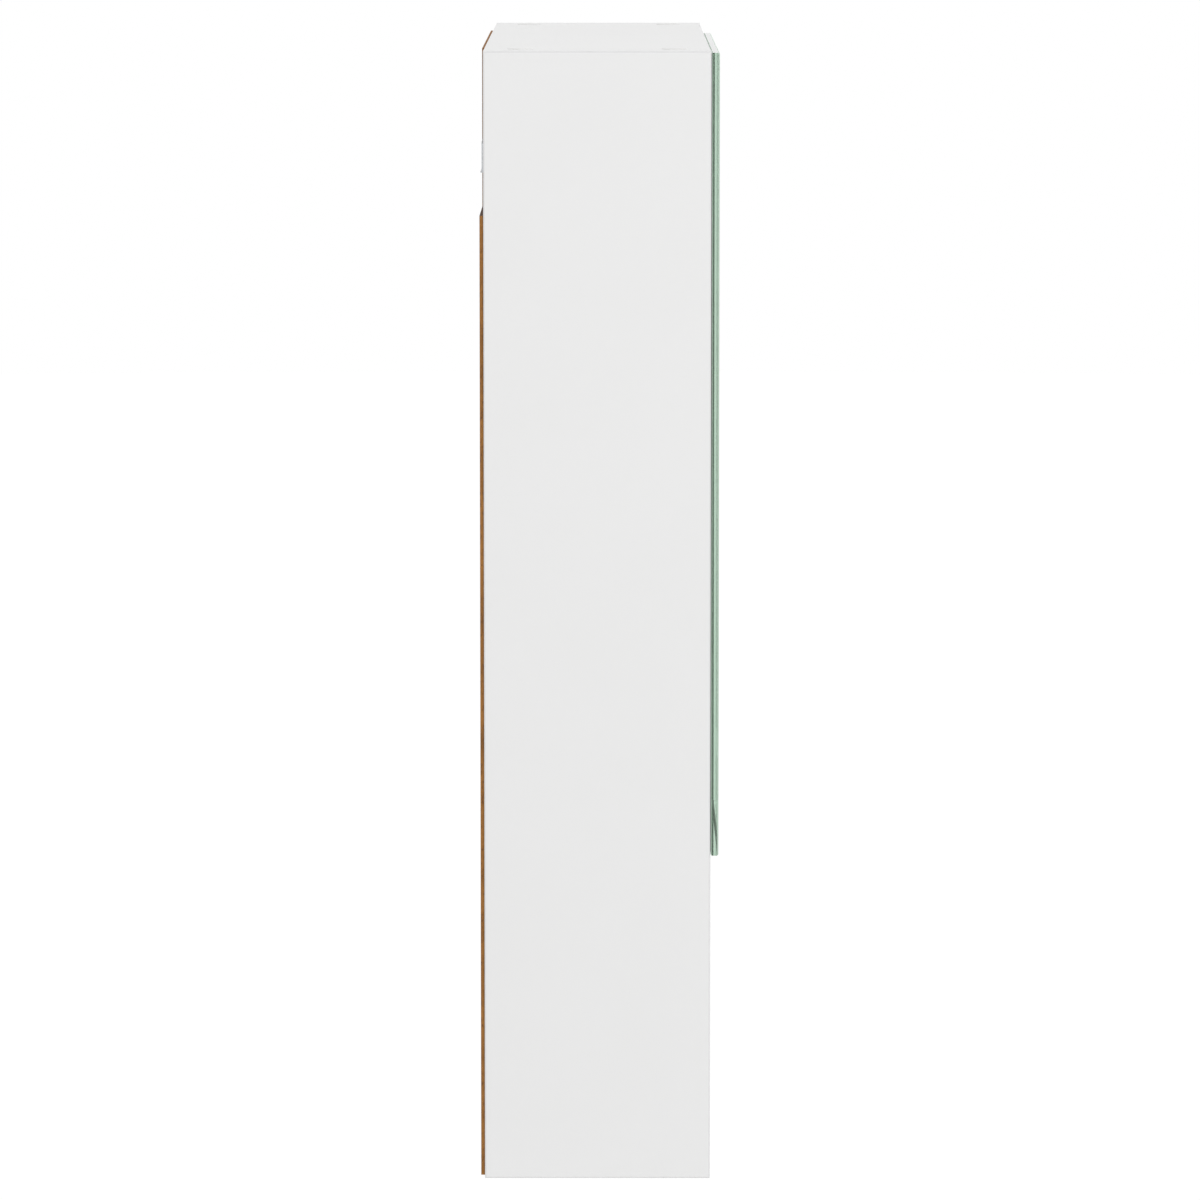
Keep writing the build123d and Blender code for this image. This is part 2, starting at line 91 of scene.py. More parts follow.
def fine_texture_group():
    """Fine relief and patches on an even surface, such as melamine, moulded plastic or rolled steel."""
    tree, given, result = shader_group(
        "Fine texture",
        {
            "Position": ("NodeSocketVector", None),
            "Relief Scale": ("NodeSocketFloat", 2500.0),
            "Patch Scale": ("NodeSocketFloat", 40.0),
            "Relief": ("NodeSocketFloat", 0.05),
            "Relief Depth": ("NodeSocketFloat", 0.0001),
        },
        {"Patches": "NodeSocketFloat", "Grains": "NodeSocketFloat", "Normal": "NodeSocketVector"},
    )
    place, *scales, strength, depth = [given.outputs[k] for k in range(5)]
    grains, patches = [
        node(tree, "ShaderNodeTexNoise", {"Vector": place, "Scale": scale, "Detail": detail})
        for scale, detail in zip(scales, (3.0, 4.0))
    ]
    bump = {"Strength": strength, "Distance": depth, "Height": grains.outputs[0]}
    relief = node(tree, "ShaderNodeBump", bump)
    tree.links.new(patches.outputs[0], result.inputs[0])
    tree.links.new(grains.outputs[0], result.inputs[1])
    tree.links.new(relief.outputs[0], result.inputs[2])
    return tree


fine_texture = fine_texture_group()


def surface(name, **settings):
    """A material with a Principled BSDF: the material, its tree, the shader and the place on the piece."""
    made = bpy.data.materials.new(name)
    made.use_nodes = True
    tree = made.node_tree
    shader = tree.nodes["Principled BSDF"]
    for label, value in settings.items():
        shader.inputs[label.replace("_", " ")].default_value = value
    place = tree.nodes.new("ShaderNodeTexCoord").outputs["Object"]
    return made, tree, shader, place


def textured(tree, place, scale, patches, relief, depth=0.0001):
    """The fine texture group placed in a material."""
    placed = node(tree, "ShaderNodeGroup", node_tree=fine_texture)
    tree.links.new(place, placed.inputs["Position"])
    for label, value in (("Relief Scale", scale), ("Patch Scale", patches), ("Relief", relief)):
        placed.inputs[label].default_value = value
    placed.inputs["Relief Depth"].default_value = depth
    return placed.outputs


def even_finish(name, light, dark, rough_low, rough_high, scale, patches, relief, depth=0.0001, **settings):
    """A finish whose colour and gloss change a little from place to place."""
    made, tree, shader, place = surface(name, **settings)
    texture = textured(tree, place, scale, patches, relief, depth)
    share = ranged(tree, texture["Patches"], 0.35, 0.65, 0.0, 1.0)
    tree.links.new(blended(tree, share, light, dark), shader.inputs["Base Color"])
    gloss = ranged(tree, texture["Grains"], 0.3, 0.7, rough_low, rough_high)
    tree.links.new(gloss, shader.inputs["Roughness"])
    tree.links.new(texture["Normal"], shader.inputs["Normal"])
    return made


def chipboard():
    """Raw particle board: flat wood chips in glue, with small gaps between them."""
    made, tree, shader, place = surface("raw particle board", Roughness=0.85)
    chips = node(tree, "ShaderNodeTexVoronoi", {"Vector": place, "Scale": 600.0, "Randomness": 1.0})
    tone = node(tree, "ShaderNodeSeparateColor", {0: chips.outputs["Color"]})
    wood = blended(tree, tone.outputs[0], (0.42, 0.27, 0.14, 1), (0.66, 0.49, 0.30, 1))
    gap = ranged(tree, chips.outputs["Distance"], 0.35, 0.75, 0.0, 0.55)
    colour = blended(tree, gap, wood, (0.16, 0.09, 0.04, 1))
    tree.links.new(colour, shader.inputs["Base Color"])
    depth = maths(tree, "SUBTRACT", tone.outputs[1], gap)
    relief = node(tree, "ShaderNodeBump", {"Strength": 0.6, "Distance": 0.0004, "Height": depth})
    tree.links.new(relief.outputs[0], shader.inputs["Normal"])
    return made


melamine = even_finish(
    "white melamine", (0.838, 0.838, 0.836, 1), (0.832, 0.832, 0.829, 1), 0.40, 0.50, 2200.0, 14.0, 0.05
)
# The tape is set greyer than the melamine. This is partly its own tone and partly painted shade, which
# darkens the rounded and taped edges.
edge_tape_with_painted_shade = even_finish(
    "white edge tape with painted shade", (0.765, 0.765, 0.765, 1), (0.745, 0.745, 0.747, 1), 0.30, 0.38, 3200.0, 60.0, 0.03
)
raw_board = chipboard()
BOARD_MATERIALS = (melamine, edge_tape_with_painted_shade, raw_board)
EDGE_ROUND = 1.0 * MM
HOLE_GAP = 0.05 * MM
HOLE_SEGMENTS = 28
HOLE_END_ROOM = 0.5 * MM
HOLE_OVERRUN = 2.0 * MM
PIN_HOLE_PITCH = 32.0 * MM
HOLE_RADIUS = {
    "shelf_pins": 2.5 * MM,
    "cam_locks": 7.4 * MM,
    "cam_bolts": 4.0 * MM,
    "wood_dowels": 4.0 * MM,
    "back_panel_nails": 0.7 * MM,
    "hanger_screws": 1.4 * MM,
    "catch_screws": 1.4 * MM,
    "upper_hinge_screws": 1.4 * MM,
    "lower_hinge_screws": 1.4 * MM,
}
BOLT_THREAD_RADIUS = 3.0 * MM
BOARD_THICKNESS = 15.0 * MM


def solids_of(name):
    """The lowest and highest corner of each separate solid in a CAD node."""
    mesh = bmesh.new()
    mesh.from_mesh(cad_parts[name].data)
    bmesh.ops.remove_doubles(mesh, verts=mesh.verts, dist=0.001 * MM)
    left, found = set(mesh.verts), []
    while left:
        waiting, island = [left.pop()], []
        while waiting:
            vertex = waiting.pop()
            island.append(vertex.co.copy())
            for edge in vertex.link_edges:
                other = edge.other_vert(vertex)
                if other in left:
                    left.remove(other)
                    waiting.append(other)
        found.append((Vector(map(min, *island)), Vector(map(max, *island))))
    mesh.free()
    return sorted(found, key=lambda corners: tuple(round(v, 5) for v in corners[0]))


def mesh_of(name, made, materials):
    """A mesh with its materials, from a bmesh, which is used up."""
    data = bpy.data.meshes.new(name)
    made.to_mesh(data)
    made.free()
    for material in materials:
        data.materials.append(material)
    return data


def set_down(name, data):
    """An object in the scene, at the origin."""
    made = bpy.data.objects.new(name, data)
    bpy.context.scene.collection.objects.link(made)
    return made


def made_piece(name, mesh, body, replaced=()):
    """A finished mesh as a piece that rides on a body and stands for CAD nodes."""
    piece = set_down(name, mesh)
    mesh.name = name
    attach(piece, body)
    if replaced:
        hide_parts(*replaced)
    return piece


def evaluated_mesh(piece):
    """The mesh that a piece's modifiers give; the piece itself is taken away."""
    bpy.context.view_layer.update()
    depsgraph = bpy.context.evaluated_depsgraph_get()
    mesh = bpy.data.meshes.new_from_object(piece.evaluated_get(depsgraph), depsgraph=depsgraph)
    used = piece.data
    bpy.data.objects.remove(piece)
    if used is not None and not used.users and isinstance(used, bpy.types.Mesh):
        bpy.data.meshes.remove(used)
    return mesh


def block(mesh, low, high):
    """Adds a box to a bmesh, and returns its faces."""
    made = bmesh.ops.create_cube(mesh, size=1.0)
    middle, size = (Vector(low) + Vector(high)) / 2, Vector(high) - Vector(low)
    for vertex in made["verts"]:
        vertex.co = Vector(vertex.co[k] * size[k] for k in range(3)) + middle
    return list({face for vertex in made["verts"] for face in vertex.link_faces})


def drill(mesh, start, end, radius):
    """Adds the solid of a drilled hole to a bmesh."""
    along = Vector(end) - Vector(start)
    turn = along.to_track_quat("Z", "Y").to_matrix().to_4x4()
    place = Matrix.Translation((Vector(start) + Vector(end)) / 2) @ turn
    sizes = {"radius1": radius, "radius2": radius, "depth": along.length}
    bmesh.ops.create_cone(mesh, cap_ends=True, segments=HOLE_SEGMENTS, matrix=place, **sizes)


def drill_for(mesh, fitting, low, high, radius, board_low, board_high):
    """Drills a board for one fitting, if the fitting is in it; pins get a spare hole above and below."""
    inside = all(low[k] < board_high[k] - MM * 0.1 and high[k] > board_low[k] + MM * 0.1 for k in range(3))
    if not inside:
        return
    size = high - low
    axis = max(range(3), key=lambda k: size[k]) if fitting != "cam_locks" else 2
    start, end = (low + high) / 2, (low + high) / 2
    start[axis], end[axis] = low[axis], high[axis]
    for point, way in ((start, -1), (end, 1)):
        blind = board_low[axis] < point[axis] < board_high[axis]
        point[axis] += way * (HOLE_END_ROOM if blind else HOLE_OVERRUN)
    steps = (-1, 0, 1) if fitting == "shelf_pins" else (0,)
    for step in steps:
        lift = Vector((0, 0, step * PIN_HOLE_PITCH))
        drill(mesh, start + lift, end + lift, radius + HOLE_GAP)


def carved(name, blank, steps, materials):
    """A blank with other solids added to it or cut from it, one after another."""
    solids = [blank] + [tool for _, tool in steps]
    pieces = [set_down(name, mesh_of(name, made, materials)) for made in solids]
    for (operation, _), tool in zip(steps, pieces[1:]):
        if len(tool.data.vertices):
            step = pieces[0].modifiers.new("carve", "BOOLEAN")
            step.operation, step.object, step.solver, step.use_self = operation, tool, "EXACT", True
    result = evaluated_mesh(pieces[0])
    for tool in pieces[1:]:
        bpy.data.objects.remove(tool)
    return result


def board_mesh(name, rounded, taped, mortises=()):
    """A board's mesh: its blank, its rounded and taped edges, and everything drilled or cut into it.
    rounded is the axis and side of the face whose edges are rounded, taped the sides that have edge tape."""
    low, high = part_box(name)
    thin = min(range(3), key=lambda k: high[k] - low[k])
    blank = bmesh.new()
    block(blank, low, high)
    axis, side = rounded
    level = (low, high)[side > 0][axis]
    edges = [
        edge
        for edge in blank.edges
        if all(abs(v.co[axis] - level) < 1e-6 for v in edge.verts)
        and (axis == thin or abs((edge.verts[0].co - edge.verts[1].co)[thin]) < 1e-6)
        and (axis == thin or edge.calc_length() > 2 * BOARD_THICKNESS)
    ]
    bmesh.ops.bevel(blank, geom=edges, offset=EDGE_ROUND, segments=5, profile=0.5, affect="EDGES")
    for face in blank.faces:
        normal = face.normal
        if abs(normal[thin]) > 0.999:
            face.material_index = 0
        elif any(normal[k] * way > 0.1 for k, way in taped):
            face.material_index = 1
        else:
            face.material_index = 2
    cutter = bmesh.new()
    for fitting, radius in HOLE_RADIUS.items():
        for solid_low, solid_high in solids_of(fitting):
            real = BOLT_THREAD_RADIUS if fitting == "cam_bolts" and thin == 0 else radius
            drill_for(cutter, fitting, solid_low, solid_high, real, low, high)
    for mortise_low, mortise_high in mortises:
        block(cutter, mortise_low, mortise_high)
    for face in cutter.faces:
        face.material_index = 2
    return carved(name, blank, [("DIFFERENCE", cutter)], BOARD_MATERIALS)


def board(name, rounded, taped, mortises=()):
    """A finished board that stands for its CAD node."""
    mesh = board_mesh(name, rounded, taped, mortises)
    return made_piece(name + "_board", mesh, "carcass", [name])


ALL_ROUND = [(k, way) for k in range(3) for way in (-1, 1)]
board("left_side_panel", (0, -1), ALL_ROUND)
board("right_side_panel", (0, 1), ALL_ROUND)

# Top, bottom and fixed shelf: 15 mm melamine boards between the sides, taped along their front edges. Their
# ends butt against the side panels on dowels and cams, and their back edges are raw under the hardboard.
for name in ("top_panel", "bottom_panel", "fixed_shelf"):
    board(name, (1, -1), [(1, -1)])

# Divider: the upright 15 mm melamine board between the mirror compartment and the open column. It stands on
# dowels between the top and the fixed shelf, and its front edge is let in across for the two wrap hinges.
MORTISE_GAP = 0.3 * MM
LEAF = 1.2 * MM
AXIS_TO_LEAF = 0.05 * MM
divider_low, divider_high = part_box("divider")
mortises = []
for height in ("upper", "lower"):
    leaf_low, leaf_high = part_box(height + "_fixed_leaf")
    pin_low, pin_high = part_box(height + "_hinge_pin")
    floor_y = (pin_low.y + pin_high.y) / 2 + AXIS_TO_LEAF + LEAF
    mortises.append(
        (
            (divider_low.x - MM, divider_low.y - MM, leaf_low.z - MORTISE_GAP),
            (divider_high.x + MM, floor_y, leaf_high.z + MORTISE_GAP),
        )
    )
board("divider", (1, -1), [(1, -1)], mortises)

# Loose shelves: two behind the mirror and two in the open column, of the same melamine board, taped along
# their front edges and ends. Nothing fixes them: each lies on four pins, and can be moved up or down a hole.
for height in ("lower", "upper"):
    for space in ("cabinet", "column"):
        board(f"{height}_{space}_shelf", (1, -1), [(1, -1), (0, -1), (0, 1)])

# Mirror door: one pane of 5 mm float glass with ground arrises, silvered on its back. The edge shows the
# green of the glass, and the silver is sealed with grey paint.
GLASS_ARRIS = 0.5 * MM
FRONT_ARRIS = 0.8 * MM
SILVER_THICKNESS = 0.06 * MM
SILVER_GAP = 0.01 * MM


def glass_material():
    """Clear float glass, green through its length."""
    made, tree, shader, place = surface("float glass", Transmission_Weight=1.0, IOR=1.52)
    shader.inputs["Base Color"].default_value = (1, 1, 1, 1)
    texture = textured(tree, place, 30.0, 8.0, 0.002, 0.00002)
    tree.links.new(ranged(tree, texture["Grains"], 0.3, 0.7, 0.0, 0.004), shader.inputs["Roughness"])
    green = node(tree, "ShaderNodeVolumeAbsorption", {"Color": (0.55, 0.73, 0.60, 1), "Density": 4.2})
    tree.links.new(green.outputs[0], tree.nodes["Material Output"].inputs["Volume"])
    return made


def ground_material():
    """The ground arris of the glass, frosted by the stone."""
    made, tree, shader, place = surface("ground glass arris", IOR=1.52)
    texture = textured(tree, place, 3500.0, 90.0, 0.5, 0.0001)
    colour = blended(tree, texture["Patches"], (0.40, 0.53, 0.425, 1), (0.48, 0.62, 0.505, 1))
    tree.links.new(colour, shader.inputs["Base Color"])
    tree.links.new(ranged(tree, texture["Grains"], 0.3, 0.7, 0.35, 0.6), shader.inputs["Roughness"])
    tree.links.new(texture["Normal"], shader.inputs["Normal"])
    return made


pane_low, pane_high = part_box("mirror_glass")
glass_back = pane_high.y - SILVER_THICKNESS - SILVER_GAP
steps = [(pane_low.y, FRONT_ARRIS), (pane_low.y + FRONT_ARRIS, 0.0)]
steps += [(glass_back - GLASS_ARRIS, 0.0), (glass_back, GLASS_ARRIS)]
pane, rings = bmesh.new(), []
for level, inset in steps:
    left, right = pane_low.x + inset, pane_high.x - inset
    foot, head = pane_low.z + inset, pane_high.z - inset
    corners = ((left, foot), (right, foot), (right, head), (left, head))
    rings.append([pane.verts.new((x, level, z)) for x, z in corners])
pane.faces.new(rings[0])
pane.faces.new(reversed(rings[-1]))
for near, far in zip(rings, rings[1:]):
    for here in range(4):
        nxt = (here + 1) % 4
        pane.faces.new((near[here], far[here], far[nxt], near[nxt]))
pane.normal_update()
for face in pane.faces:
    face.material_index = 0 if max(abs(v) for v in face.normal) > 0.99 else 1
pane_mesh = mesh_of("pane", pane, [glass_material(), ground_material()])
made_piece("mirror_pane", pane_mesh, "door", ["mirror_glass"])

silver = even_finish(
    "silvering", (0.90, 0.92, 0.91, 1), (0.88, 0.905, 0.895, 1), 0.0, 0.012, 300.0, 6.0, 0.0, Metallic=1.0
)
back_paint = even_finish(
    "grey backing paint", (0.296, 0.311, 0.316, 1), (0.286, 0.301, 0.306, 1), 0.45, 0.62, 900.0, 25.0, 0.25
)
backing = bmesh.new()
inset = Vector((GLASS_ARRIS, 0, GLASS_ARRIS))
backing_low = Vector((pane_low.x, pane_high.y - SILVER_THICKNESS, pane_low.z)) + inset
for face in block(backing, backing_low, pane_high - inset):
    face.material_index = 0 if face.normal.y < -0.9 else 1
made_piece("mirror_silvering", mesh_of("backing", backing, [silver, back_paint]), "door")

# Dowels, cam bolts, cam locks and covers: the knock-down fittings of every board joint. The fluted beech
# dowels place the boards, the bolts pull them together by the cast zinc cams, and thin white covers are
# pressed over the cams. Four of them show on the top.
def fitting_tree(name, sizes):
    """A Geometry Nodes tree for a fitting, with its sizes in millimetres as named inputs."""
    tree = bpy.data.node_groups.new(name, "GeometryNodeTree")
    tree.interface.new_socket("Geometry", in_out="INPUT", socket_type="NodeSocketGeometry")
    for label, value in sizes.items():
        tree.interface.new_socket(label, in_out="INPUT", socket_type="NodeSocketFloat").default_value = value
    tree.interface.new_socket("Spin", in_out="INPUT", socket_type="NodeSocketFloat")
    tree.interface.new_socket("Seed", in_out="INPUT", socket_type="NodeSocketInt").default_value = 7
    tree.interface.new_socket("Material", in_out="INPUT", socket_type="NodeSocketMaterial")
    tree.interface.new_socket("Geometry", in_out="OUTPUT", socket_type="NodeSocketGeometry")
    return tree, tree.nodes.new("NodeGroupInput").outputs


def chosen(tree, index, values):
    """The value at an index in a list."""
    switch = node(tree, "GeometryNodeIndexSwitch", data_type="FLOAT")
    while len(switch.index_switch_items) < len(values):
        switch.index_switch_items.new()
    tree.links.new(index, switch.inputs[0])
    for number, value in enumerate(values):
        socket = switch.inputs[number + 1]
        if isinstance(value, bpy.types.NodeSocket):
            tree.links.new(value, socket)
        else:
            socket.default_value = value
    return switch.outputs[0]


def turned(tree, rings, segments, flutes=0):
    """A turned solid, from the radius and height of each ring, foot to top, with flutes along it if asked."""
    last = len(rings) - 1
    settings = {"Vertices": segments, "Side Segments": last, "Radius": 1.0, "Depth": 1.0}
    blank = node(tree, "GeometryNodeMeshCylinder", settings)
    position = node(tree, "GeometryNodeInputPosition").outputs[0]
    parts = node(tree, "ShaderNodeSeparateXYZ", {0: position}).outputs
    level = maths(tree, "ROUND", maths(tree, "MULTIPLY_ADD", parts[2], last, last / 2))
    radius = chosen(tree, level, [ring[0] for ring in rings])
    height = chosen(tree, level, [ring[1] for ring in rings])
    if flutes:
        angle = maths(tree, "ARCTAN2", parts[1], parts[0])
        wave = maths(tree, "COSINE", maths(tree, "MULTIPLY", angle, flutes))
        radius = maths(tree, "MULTIPLY", radius, maths(tree, "MULTIPLY_ADD", wave, 0.025, 0.975))
    spots = [maths(tree, "MULTIPLY", parts[k], radius) for k in range(2)] + [height]
    place = node(tree, "ShaderNodeCombineXYZ", enumerate(spots)).outputs[0]
    shaped = node(tree, "GeometryNodeSetPosition", {"Geometry": blank.outputs[0], "Position": place})
    return node(tree, "GeometryNodeMergeByDistance", {0: shaped.outputs[0], "Distance": 0.001}).outputs[0]


def box_tool(tree, sizes, place):
    """A box, from its three sizes, moved to its place."""
    size = node(tree, "ShaderNodeCombineXYZ", enumerate(sizes)).outputs[0]
    cube = node(tree, "GeometryNodeMeshCube", {"Size": size})
    spot = node(tree, "ShaderNodeCombineXYZ", enumerate(place)).outputs[0]
    moved = {"Geometry": cube.outputs[0], "Translation": spot}
    return node(tree, "GeometryNodeTransform", moved).outputs[0]


def cut_away(tree, solid, tools):
    """A solid with tools cut out of it."""
    cut = node(tree, "GeometryNodeMeshBoolean", {"Mesh 1": solid}, operation="DIFFERENCE", solver="EXACT")
    for tool in tools:
        tree.links.new(tool, cut.inputs["Mesh 2"])
    return cut.outputs[0]


def placed_on_points(tree, given, solid):
    """Puts the solid on every point, turned as the point says, and ends the tree."""
    facing = node(tree, "GeometryNodeInputNamedAttribute", {"Name": "facing"}, data_type="FLOAT_VECTOR")
    base = node(tree, "FunctionNodeEulerToRotation", {0: facing.outputs[0]}).outputs[0]
    least = maths(tree, "MULTIPLY", given["Spin"], -1.0)
    spin = node(tree, "FunctionNodeRandomValue", {2: least, 3: given["Spin"], "Seed": given["Seed"]})
    about = node(tree, "ShaderNodeCombineXYZ", {2: spin.outputs[1]}).outputs[0]
    turn = node(tree, "FunctionNodeEulerToRotation", {0: about}).outputs[0]
    rotation = node(tree, "FunctionNodeRotateRotation", {0: base, 1: turn}, rotation_space="LOCAL")
    spread = {"Points": given["Geometry"], "Instance": solid, "Rotation": rotation.outputs[0]}
    placed = node(tree, "GeometryNodeInstanceOnPoints", {**spread, "Scale": (MM, MM, MM)})
    real = node(tree, "GeometryNodeRealizeInstances", {0: placed.outputs[0]})
    coated = node(tree, "GeometryNodeSetMaterial", {0: real.outputs[0], "Material": given["Material"]})
    node(tree, "NodeGroupOutput", {0: coated.outputs[0]})
    return tree


def facing(out, along=None):
    """The turn that takes local Z to one direction, and local X to another."""
    out = Vector(out).normalized()
    if along is None:
        return out.to_track_quat("Z", "Y").to_euler()
    along = Vector(along).normalized()
    return Matrix((along, out.cross(along), out)).transposed().to_euler()


def smoothed(mesh, angle=35.0):
    """Smooth shading, with sharp edges kept."""
    mesh.shade_smooth()
    mesh.set_sharp_from_angle(angle=math.radians(angle))
    return mesh


def fittings(name, tree, places, material, slot, nodes=(), body="carcass", spin=0.0, **sizes):
    """Pieces of one kind at their places, as one plain mesh; a size may be set for this use."""
    points = bpy.data.meshes.new(name)
    points.from_pydata([place for place, _ in places], [], [])
    turns = points.attributes.new("facing", "FLOAT_VECTOR", "POINT")
    for number, (_, turn) in enumerate(places):
        turns.data[number].vector = turn
    holder = set_down(name, points)
    maker = holder.modifiers.new(name, "NODES")
    maker.node_group = tree
    given = {"Material": material, "Spin": spin}
    given.update({label.replace("_", " "): value for label, value in sizes.items()})
    for socket in tree.interface.items_tree:
        if socket.name in given and socket.in_out == "INPUT":
            maker[socket.identifier] = given[socket.name]
    return made_piece(name, smoothed(evaluated_mesh(holder)), body, nodes)


def rod_tree(name, radius, length, chamfer, segments, flutes=0):
    """A straight rod, chamfered at both ends: a dowel or a pin."""
    tree, given = fitting_tree(name, {"Radius": radius, "Length": length, "Chamfer": chamfer})
    narrow = maths(tree, "SUBTRACT", given["Radius"], given["Chamfer"])
    half = maths(tree, "MULTIPLY", given["Length"], 0.5)
    inner = maths(tree, "SUBTRACT", half, given["Chamfer"])
    below, low = maths(tree, "MULTIPLY", half, -1.0), maths(tree, "MULTIPLY", inner, -1.0)
    rings = [(narrow, below), (given["Radius"], low), (given["Radius"], inner), (narrow, half)]
    return placed_on_points(tree, given, turned(tree, rings, segments, flutes))


def bolt_tree():
    """A cam bolt: threads for the side panel, a shank and a head for the cam to pull."""
    sizes = {"Thread Radius": 3.0, "Thread Length": 10.0, "Core Radius": 2.3, "Shank Radius": 2.2}
    sizes.update({"Reach": 24.0, "Head Radius": 3.4, "Head Length": 3.5})
    tree, given = fitting_tree("cam bolt", sizes)
    turns = 6
    start = maths(tree, "MULTIPLY", given["Thread Length"], -1.0)
    pitch = maths(tree, "DIVIDE", given["Thread Length"], turns + 1.0)
    rings = [(1.2, start)]
    for turn in range(turns):
        root = maths(tree, "MULTIPLY_ADD", pitch, turn + 0.5, start)
        crest = maths(tree, "MULTIPLY_ADD", pitch, turn + 1.0, start)
        rings += [(given["Core Radius"], root), (given["Thread Radius"], crest)]
    end = maths(tree, "MULTIPLY_ADD", given["Head Length"], 0.5, given["Reach"])
    neck = maths(tree, "SUBTRACT", end, given["Head Length"])
    rings += [(given["Thread Radius"], -0.8), (given["Thread Radius"], -0.1), (given["Shank Radius"], 0.0)]
    rings += [(given["Shank Radius"], neck), (given["Head Radius"], maths(tree, "ADD", neck, 0.8))]
    rings += [(given["Head Radius"], maths(tree, "SUBTRACT", end, 0.7)), (2.5, end)]
    return placed_on_points(tree, given, turned(tree, rings, 24))


def cam_tree():
    """A cam lock: a cast disc, bored across for the bolt's head, with a cross slot in its top."""
    sizes = {"Radius": 7.4, "Top": 7.2, "Height": 11.5, "Bore Radius": 4.0, "Bore Reach": 4.5}
    sizes.update({"Key Length": 7.0, "Key Width": 1.4, "Key Depth": 2.0})
    tree, given = fitting_tree("cam lock", sizes)
    foot = maths(tree, "SUBTRACT", given["Top"], given["Height"])
    narrow = maths(tree, "SUBTRACT", given["Radius"], 0.4)
    above = maths(tree, "SUBTRACT", given["Top"], 0.4)
    rings = [(narrow, foot), (given["Radius"], maths(tree, "ADD", foot, 0.4))]
    rings += [(given["Radius"], above), (narrow, given["Top"])]
    disc = turned(tree, rings, 40)
    bore = turned(tree, [(given["Bore Radius"], -9.0), (given["Bore Radius"], given["Bore Reach"])], 24)
    across = node(tree, "GeometryNodeTransform", {"Geometry": bore, "Rotation": (0, math.pi / 2, 0)})
    deep = maths(tree, "MULTIPLY", given["Key Depth"], 2.0)
    key = (given["Key Length"], given["Key Width"], deep)
    tools = [box_tool(tree, sizes, (0, 0, given["Top"])) for sizes in (key, (key[1], key[0], deep))]
    return placed_on_points(tree, given, cut_away(tree, disc, [across.outputs[0]] + tools))


def cover_tree():
    """A thin round cover with a softened rim."""
    tree, given = fitting_tree("cam cover", {"Radius": 8.5, "Height": 0.6, "Edge": 0.35})
    rim = maths(tree, "SUBTRACT", given["Radius"], given["Edge"])
    shoulder = maths(tree, "SUBTRACT", given["Height"], given["Edge"])
    rings = [(maths(tree, "SUBTRACT", given["Radius"], 0.1), 0.0), (given["Radius"], 0.1)]
    soft = (maths(tree, "ADD", rim, 0.22), maths(tree, "SUBTRACT", given["Height"], 0.12))
    rings += [(given["Radius"], shoulder), soft, (rim, given["Height"])]
    return placed_on_points(tree, given, turned(tree, rings, 48))


def middle_of(corners):
    """The middle of a box, from its lowest and highest corner."""
    return (corners[0] + corners[1]) / 2


def middles(name):
    """The middle of each solid in a CAD node."""
    return [middle_of(corners) for corners in solids_of(name)]


def beech_material():
    """Beech: pale, with short darker flecks along the grain."""
    made, tree, shader, place = surface("beech", Roughness=0.62)
    stretch = node(tree, "ShaderNodeMapping", {"Vector": place, "Scale": (0.12, 1.0, 1.0)})
    grain = node(tree, "ShaderNodeTexNoise", {"Vector": stretch.outputs[0], "Scale": 1400.0, "Detail": 5.0})
    share = ranged(tree, grain.outputs[0], 0.4, 0.65, 0.0, 1.0)
    colour = blended(tree, share, (0.66, 0.44, 0.25, 1), (0.47, 0.28, 0.14, 1))
    tree.links.new(colour, shader.inputs["Base Color"])
    relief = node(tree, "ShaderNodeBump", {"Strength": 0.4, "Distance": 0.0002, "Height": grain.outputs[0]})
    tree.links.new(relief.outputs[0], shader.inputs["Normal"])
    return made


white_plastic = even_finish(
    "white moulded plastic", (0.80, 0.80, 0.79, 1), (0.775, 0.775, 0.765, 1), 0.34, 0.46, 1800.0, 120.0, 0.12
)
cast_zinc = even_finish(
    "cast zinc", (0.60, 0.60, 0.59, 1), (0.44, 0.44, 0.44, 1), 0.38, 0.58, 1500.0, 300.0, 0.6, Metallic=1.0
)
zinc_plate = even_finish(
    "zinc plate", (0.46, 0.47, 0.48, 1), (0.39, 0.40, 0.415, 1), 0.26, 0.42, 1100.0, 420.0, 0.15, Metallic=1.0
)
FOOT_LEVEL = -550.0 * MM
dowel_places, bolt_places, cam_places, cover_places = [], [], [], []
for corners in solids_of("wood_dowels"):
    size = corners[1] - corners[0]
    upright = size.z > size.x
    dowel_places.append((middle_of(corners), facing((0, 0, 1) if upright else (1, 0, 0))))
for middle in middles("cam_locks"):
    side = 1 if middle.x < 0 else -1
    opens = 1 if middle.z > 0 else -1
    low_board = "bottom_panel" if middle.z < FOOT_LEVEL else "fixed_shelf"
    board_name = "top_panel" if opens > 0 else low_board
    axis_z = sum(corner.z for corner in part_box(board_name)) / 2
    joint_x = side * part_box("top_panel")[0].x
    cam_places.append((Vector((middle.x, middle.y, axis_z)), facing((0, 0, opens), (side, 0, 0))))
    bolt_places.append((Vector((joint_x, middle.y, axis_z)), facing((side, 0, 0))))
    face_z = axis_z + opens * BOARD_THICKNESS / 2
    cover_places.append((Vector((middle.x, middle.y, face_z)), facing((0, 0, opens))))
dowels = rod_tree("fluted dowel", 4.0, 30.0, 1.0, 48, flutes=12)
fittings("fluted_dowels", dowels, dowel_places, beech_material(), "beech", ["wood_dowels"])
fittings("cam_bolts_turned", bolt_tree(), bolt_places, zinc_plate, "zinc_steel", ["cam_bolts"])
fittings("cam_locks_cast", cam_tree(), cam_places, cast_zinc, "cast_zinc", ["cam_locks"])
fittings("cam_covers_pressed", cover_tree(), cover_places, white_plastic, "white_plastic", ["cam_covers"])
